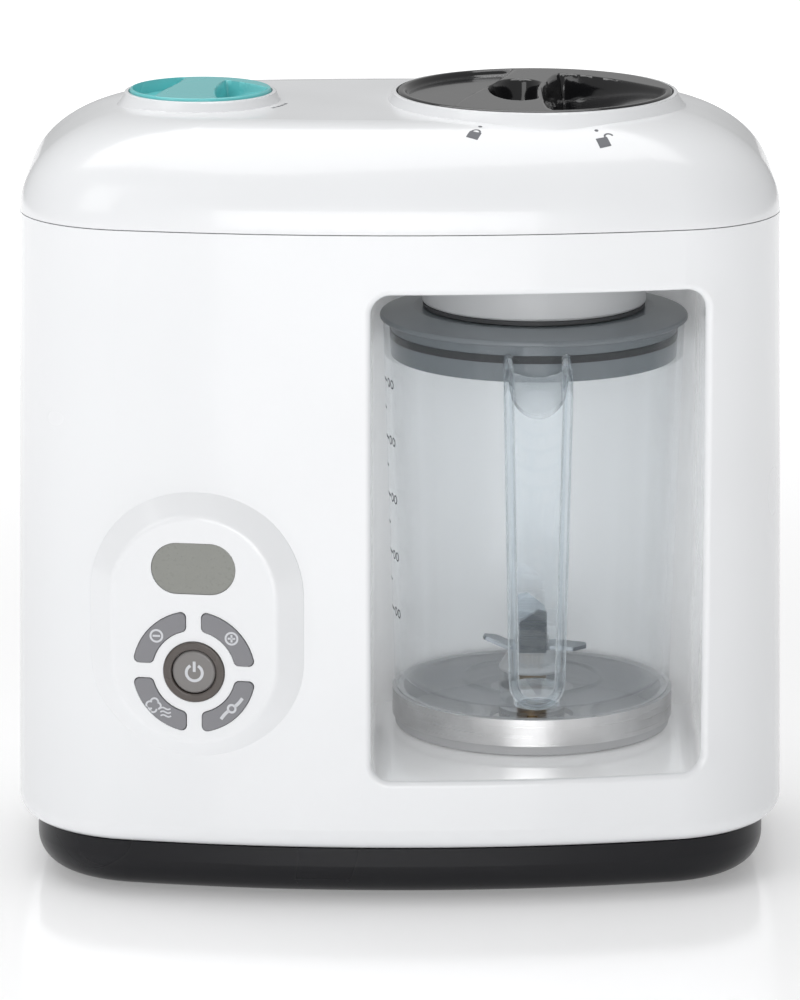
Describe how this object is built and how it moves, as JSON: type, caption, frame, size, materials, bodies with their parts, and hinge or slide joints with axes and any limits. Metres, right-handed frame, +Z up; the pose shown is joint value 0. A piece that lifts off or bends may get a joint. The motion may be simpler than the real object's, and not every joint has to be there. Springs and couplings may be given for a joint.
{
  "type": "baby food steamer and blender",
  "caption": "Rounded free-standing baby food steamer and blender with a clear handled jug in a front bay, a control pad, and a lock dial and tank cap on top.",
  "frame": {"origin": "on the surface the feet stand on, under the middle of the body", "axes": "+Z up, +X to the right seen from the front, the front faces -Y"},
  "size_m": [0.3082, 0.1942, 0.3139],
  "materials": {
    "white_shell": "high gloss",
    "white_liner": "gloss",
    "dark_base": "satin",
    "foot_rubber": "matte",
    "steel": "brushed",
    "screw_steel": "satin",
    "gland_plastic": "satin",
    "display_grey": "gloss",
    "lcd_body": "satin",
    "key_grey": "satin",
    "power_grey": "satin",
    "ring_dark": "gloss",
    "membrane": "matte",
    "board_green": "satin",
    "component_black": "matte",
    "tank_plastic": "translucent",
    "cap_teal": "gloss",
    "seal_silicone": "satin",
    "boiler_aluminium": "cast",
    "element_steel": "satin",
    "ceramic_white": "matte",
    "hose_silicone": "satin",
    "brass": "satin",
    "dial_black": "high gloss",
    "collar_grey": "satin",
    "jug_clear": "clear",
    "lid_grey": "satin",
    "hub_white": "satin",
    "blade_steel": "satin",
    "motor_paint": "satin",
    "magnet": "matte",
    "rotor_steel": "satin",
    "bearing_bronze": "sintered",
    "pulley_plastic": "satin",
    "belt_rubber": "matte"
  },
  "bodies": {
    "body": {"main_housing": "white_shell", "rear_panel": "white_shell", "top_cover": "white_shell", "base_tray": "dark_base", "rubber_feet": "foot_rubber", "base_screws": "screw_steel", "jug_bay": "white_liner", "cord_gland": "gland_plastic", "display_window": "display_grey", "lcd_module": "lcd_body", "power_ring": "ring_dark", "key_membrane": "membrane", "control_board": "board_green", "water_tank": "tank_plastic", "tank_cap_seal": "seal_silicone", "boiler_pot": "boiler_aluminium", "boiler_cover": "boiler_aluminium", "heating_element": "element_steel", "boiler_posts": "ceramic_white", "thermostat": "component_black", "thermal_fuse": "ceramic_white", "water_hoses": "hose_silicone", "steam_nozzle": "brass", "power_board": "board_green", "board_components": "component_black", "lock_sensor": "component_black", "drive_belt": "belt_rubber", "drive_bearing_carrier": "boiler_aluminium", "shaft_bushes": "bearing_bronze", "motor_can": "motor_paint", "motor_magnets": "magnet", "motor_bracket": "boiler_aluminium"},
    "dial": {"lock_dial": "dial_black", "dial_cam": "dial_black", "dial_clip": "steel"},
    "collar": {"steam_collar": "collar_grey", "collar_seal": "seal_silicone"},
    "cap": {"tank_cap": "cap_teal"},
    "jug": {"jug_cup": "jug_clear", "jug_band": "steel", "jug_foot": "hub_white", "jug_bush": "bearing_bronze"},
    "lid": {"jug_lid": "lid_grey", "lid_seal": "seal_silicone"},
    "cutter": {"blade_spindle": "steel", "blade_hub": "hub_white", "blade_nut": "steel", "blade": "blade_steel"},
    "motor_spindle": {"motor_rotor": "rotor_steel", "motor_shaft": "steel", "motor_pulley_wheel": "pulley_plastic", "motor_fan": "pulley_plastic"},
    "drive": {"drive_pulley_wheel": "pulley_plastic", "drive_shaft": "steel", "drive_coupling": "pulley_plastic"},
    "power": {"power_button": "power_grey"},
    "minus": {"minus_key": "key_grey"},
    "plus": {"plus_key": "key_grey"},
    "steam": {"steam_key": "key_grey"},
    "blend": {"blend_key": "key_grey"}
  },
  "joints": [
    {"name": "dial_turn", "type": "hinge", "parent": "body", "child": "dial", "pos_m": [0.054, 0, 0.305], "axis": [0, 0, 1], "range_deg": [0, 40]},
    {"name": "collar_lift", "type": "slide", "parent": "body", "child": "collar", "axis": [0, 0, 1], "range_m": [0, 0.004]},
    {"name": "cap_turn", "type": "hinge", "parent": "body", "child": "cap", "pos_m": [-0.0798, 0, 0.305], "axis": [0, 0, 1], "range_deg": [0, 90]},
    {"name": "jug_slide", "type": "slide", "parent": "body", "child": "jug", "axis": [0, -1, 0], "range_m": [0, 0.16]},
    {"name": "lid_turn", "type": "hinge", "parent": "jug", "child": "lid", "pos_m": [0.054, 0, 0.221], "axis": [0, 0, 1], "range_deg": [0, 30]},
    {"name": "power_press", "type": "slide", "parent": "body", "child": "power", "axis": [0.1544, 0.988, 0], "range_m": [0, 0.0012], "stiffness_N_per_m": 800},
    {"name": "minus_press", "type": "slide", "parent": "body", "child": "minus", "axis": [0.1544, 0.988, 0], "range_m": [0, 0.0012], "stiffness_N_per_m": 800},
    {"name": "plus_press", "type": "slide", "parent": "body", "child": "plus", "axis": [0.1544, 0.988, 0], "range_m": [0, 0.0012], "stiffness_N_per_m": 800},
    {"name": "steam_press", "type": "slide", "parent": "body", "child": "steam", "axis": [0.1544, 0.988, 0], "range_m": [0, 0.0012], "stiffness_N_per_m": 800},
    {"name": "blend_press", "type": "slide", "parent": "body", "child": "blend", "axis": [0.1544, 0.988, 0], "range_m": [0, 0.0012], "stiffness_N_per_m": 800},
    {"name": "motor_spin", "type": "hinge", "parent": "body", "child": "motor_spindle", "pos_m": [-0.046, 0, 0.078], "axis": [0, 0, 1], "continuous": true},
    {"name": "drive_spin", "type": "hinge", "parent": "body", "child": "drive", "pos_m": [0.054, 0, 0.043], "axis": [0, 0, 1], "continuous": true},
    {"name": "blade_spin", "type": "hinge", "parent": "jug", "child": "cutter", "pos_m": [0.054, 0, 0.073], "axis": [0, 0, 1], "continuous": true}
  ],
  "couplings": [
    {"joint": "collar_lift", "follows": "dial_turn", "m_per_rad": 0.0057296},
    {"joint": "drive_spin", "follows": "motor_spin", "ratio": 0.35484},
    {"joint": "blade_spin", "follows": "motor_spin", "ratio": 0.35484}
  ]
}
